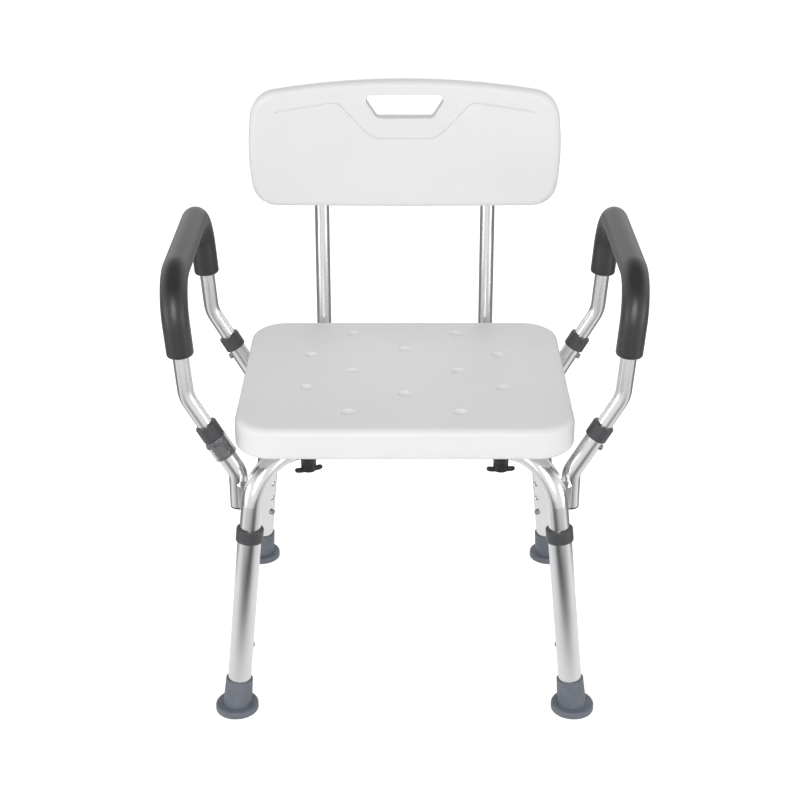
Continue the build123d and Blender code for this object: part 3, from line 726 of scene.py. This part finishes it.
class CHAIR_OT_feet(ChairOperator, bpy.types.Operator):
    """Give the feet their slate-grey rubber"""

    bl_idname = "chair.feet"
    bl_label = "Rubber feet"

    def execute(self, context):
        paint(slot_nodes("grey_rubber"), foot_rubber(context.scene.chair_finish))
        return {"FINISHED"}


class CHAIR_OT_steel(ChairOperator, bpy.types.Operator):
    """Give the buttons, springs, rivets, screws and bolts their plain steel"""

    bl_idname = "chair.steel"
    bl_label = "Steel pieces"

    def execute(self, context):
        paint(slot_nodes("steel"), plain_steel(context.scene.chair_finish))
        return {"FINISHED"}


class CHAIR_OT_sleeve(ChairOperator, bpy.types.Operator):
    """Give the clip sleeve its smoky plastic"""

    bl_idname = "chair.sleeve"
    bl_label = "Smoky sleeve"

    def execute(self, context):
        paint(slot_nodes("smoky_plastic"), smoky_plastic(context.scene.chair_finish))
        return {"FINISHED"}


class CHAIR_OT_grips(ChairOperator, bpy.types.Operator):
    """Make the two foam arm grips over the arm tubes"""

    bl_idname = "chair.grips"
    bl_label = "Foam grips"

    def execute(self, context):
        grip = context.scene.chair_grips
        material = grip_foam(context.scene.chair_finish)
        for word, side in SIDES:
            node = "arm_grip_" + word
            low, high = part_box(node)
            points, faces = grip_surface(low, high, side, grip)
            piece = add_mesh("foam_grip_" + word, points, faces, material)
            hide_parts(node)
            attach(piece, "arm_" + word)
        return {"FINISHED"}


def add_area_light(name, place, target, size, power):
    """A square soft light at a place, turned to a target."""
    lamp = bpy.data.lights.new(name, "AREA")
    lamp.shape = "SQUARE"
    lamp.size = size
    lamp.energy = power
    item = bpy.data.objects.new(name, lamp)
    bpy.context.scene.collection.objects.link(item)
    item.location = place
    towards = Vector(target) - Vector(place)
    item.rotation_euler = towards.to_track_quat("-Z", "Y").to_euler()
    return item


def place_axes(tree, output):
    """The three axes of a coordinate, as separate values."""
    where = tree.nodes.new("ShaderNodeTexCoord")
    split = tree.nodes.new("ShaderNodeSeparateXYZ")
    link(tree, where, output, split, "Vector")
    return split.outputs


def studio_world(studio):
    """Even studio light: white to the camera, a bright room with a dim ceiling to metal."""
    world = bpy.data.worlds.new("studio")
    bpy.context.scene.world = world
    world.use_nodes = True
    tree = world.node_tree
    tree.nodes.clear()
    rays = tree.nodes.new("ShaderNodeLightPath").outputs
    ceiling = fade(tree, place_axes(tree, "Generated")["Z"], CEILING_FADE)
    drop = value_node(tree, "MULTIPLY", ceiling, studio.room - studio.ceiling)
    room = value_node(tree, "SUBTRACT", studio.room - studio.sky, drop)
    glossy = value_node(tree, "MULTIPLY", rays["Is Glossy Ray"], room)
    seen = value_node(tree, "MAXIMUM", rays["Is Camera Ray"], rays["Is Transmission Ray"])
    white = value_node(tree, "MULTIPLY", seen, 1.0 - studio.sky)
    strength = value_node(tree, "ADD", value_node(tree, "ADD", glossy, white), studio.sky)
    background = tree.nodes.new("ShaderNodeBackground")
    background.inputs["Color"].default_value = WHITE
    tree.links.new(strength, background.inputs["Strength"])
    result = tree.nodes.new("ShaderNodeOutputWorld")
    link(tree, background, "Background", result, "Surface")


def floor_tone(tree, studio):
    """The floor as metal shows it: pale, with a dark patch in front and a dark back.

    The patch is exp(-((x/a)^2 + ((y+c)/b)^2)); the back fades in with y + slope |x|.
    """
    axes = place_axes(tree, "Object")
    across = value_node(tree, "DIVIDE", axes["X"], studio.patch_width)
    ahead = value_node(tree, "ADD", axes["Y"], studio.patch_ahead)
    ahead = value_node(tree, "DIVIDE", ahead, studio.patch_depth)
    spread = value_node(
        tree, "ADD", value_node(tree, "POWER", across, 2.0), value_node(tree, "POWER", ahead, 2.0))
    patch = value_node(tree, "EXPONENT", value_node(tree, "MULTIPLY", spread, -1.0))
    outward = value_node(tree, "ABSOLUTE", axes["X"])
    outward = value_node(tree, "MULTIPLY", outward, studio.back_slope)
    behind = fade(tree, value_node(tree, "ADD", axes["Y"], outward), BACK_FADE)
    drop = value_node(tree, "MULTIPLY", patch, studio.room - studio.room_dark)
    drop_behind = value_node(tree, "MULTIPLY", behind, studio.room - studio.room_back)
    darkest = value_node(tree, "MAXIMUM", drop, drop_behind)
    return value_node(tree, "SUBTRACT", studio.room, darkest)


def floor_material(studio):
    """Pale floor that keeps the chair's shadow: lifted to white for the camera, toned for metal."""
    material, tree, shader = new_material("studio_floor", studio.floor, roughness=0.9)
    shader.inputs["Specular IOR Level"].default_value = 0.0
    rays = tree.nodes.new("ShaderNodeLightPath").outputs
    seen = value_node(tree, "MAXIMUM", rays["Is Camera Ray"], rays["Is Transmission Ray"])
    lift = value_node(tree, "MULTIPLY", seen, studio.floor_lift)
    shine = value_node(tree, "MULTIPLY", rays["Is Glossy Ray"], floor_tone(tree, studio))
    floor_paint = tree.nodes.new("ShaderNodeMix")
    floor_paint.data_type = "RGBA"
    floor_paint.inputs["A"].default_value = colour(studio.floor)
    floor_paint.inputs["B"].default_value = BLACK
    tree.links.new(rays["Is Glossy Ray"], floor_paint.inputs["Factor"])
    tree.links.new(floor_paint.outputs["Result"], shader.inputs["Base Color"])
    shader.inputs["Emission Color"].default_value = WHITE
    tree.links.new(value_node(tree, "ADD", lift, shine), shader.inputs["Emission Strength"])
    return material


class CHAIR_OT_stage(ChairOperator, bpy.types.Operator):
    """Set up the floor, the lights and the camera"""

    bl_idname = "chair.stage"
    bl_label = "Studio"

    def execute(self, context):
        scene = context.scene
        studio = scene.chair_studio
        scene.view_settings.view_transform = "Standard"
        studio_world(studio)
        level = CAD_BOX[0][2] - FLOOR_GAP
        corners = np.array([(x * FLOOR_REACH, y * FLOOR_REACH, level)
                            for x, y in ((-1, -1), (1, -1), (1, 1), (-1, 1))])
        floor = add_mesh("floor", corners, [[0, 1, 2, 3]], floor_material(studio), smooth=False)
        for name, place, target, size, setting, seen in LAMPS:
            lamp = add_area_light(name, place, target, size, getattr(studio, setting))
            lamp.visible_glossy = seen
        camera = bpy.data.objects.new("camera", bpy.data.cameras.new("camera"))
        scene.collection.objects.link(camera)
        camera.data.sensor_width = SENSOR_WIDTH
        camera.data.lens = studio.camera_lens
        camera.data.shift_x = studio.camera_shift
        camera.data.dof.use_dof = False
        camera.location = (0.0, -studio.camera_back, studio.camera_height)
        camera.rotation_euler = (QUARTER_TURN - studio.camera_pitch, 0.0, 0.0)
        scene.camera = camera
        return {"FINISHED"}


STEPS = (CHAIR_OT_tubes, CHAIR_OT_mouldings, CHAIR_OT_collars, CHAIR_OT_knobs, CHAIR_OT_feet,
         CHAIR_OT_steel, CHAIR_OT_sleeve, CHAIR_OT_grips, CHAIR_OT_stage)


class CHAIR_PT_panel(bpy.types.Panel):
    """Sidebar list of the chair's steps and settings"""

    bl_idname = "CHAIR_PT_panel"
    bl_label = "Shower chair"
    bl_space_type = "VIEW_3D"
    bl_region_type = "UI"
    bl_category = "Shower chair"

    def draw(self, context):
        for step in STEPS:
            self.layout.operator(step.bl_idname)
        for place, group in SETTINGS:
            box = self.layout.box()
            for name in group.__annotations__:
                box.prop(getattr(context.scene, place), name)


CLASSES = tuple(group for _, group in SETTINGS) + STEPS + (CHAIR_PT_panel,)


def register():
    """Register the classes and hang the settings on the scene."""
    for item in CLASSES:
        bpy.utils.register_class(item)
    for place, group in SETTINGS:
        setattr(bpy.types.Scene, place, bpy.props.PointerProperty(type=group))


def unregister():
    """Take the settings and the classes away again."""
    for place, _ in reversed(SETTINGS):
        delattr(bpy.types.Scene, place)
    for item in reversed(CLASSES):
        bpy.utils.unregister_class(item)


def main():
    """Dress the chair step by step."""
    register()
    for step in STEPS:
        family, name = step.bl_idname.split(".")
        getattr(getattr(bpy.ops, family), name)()


if __name__ == "__main__":
    main()
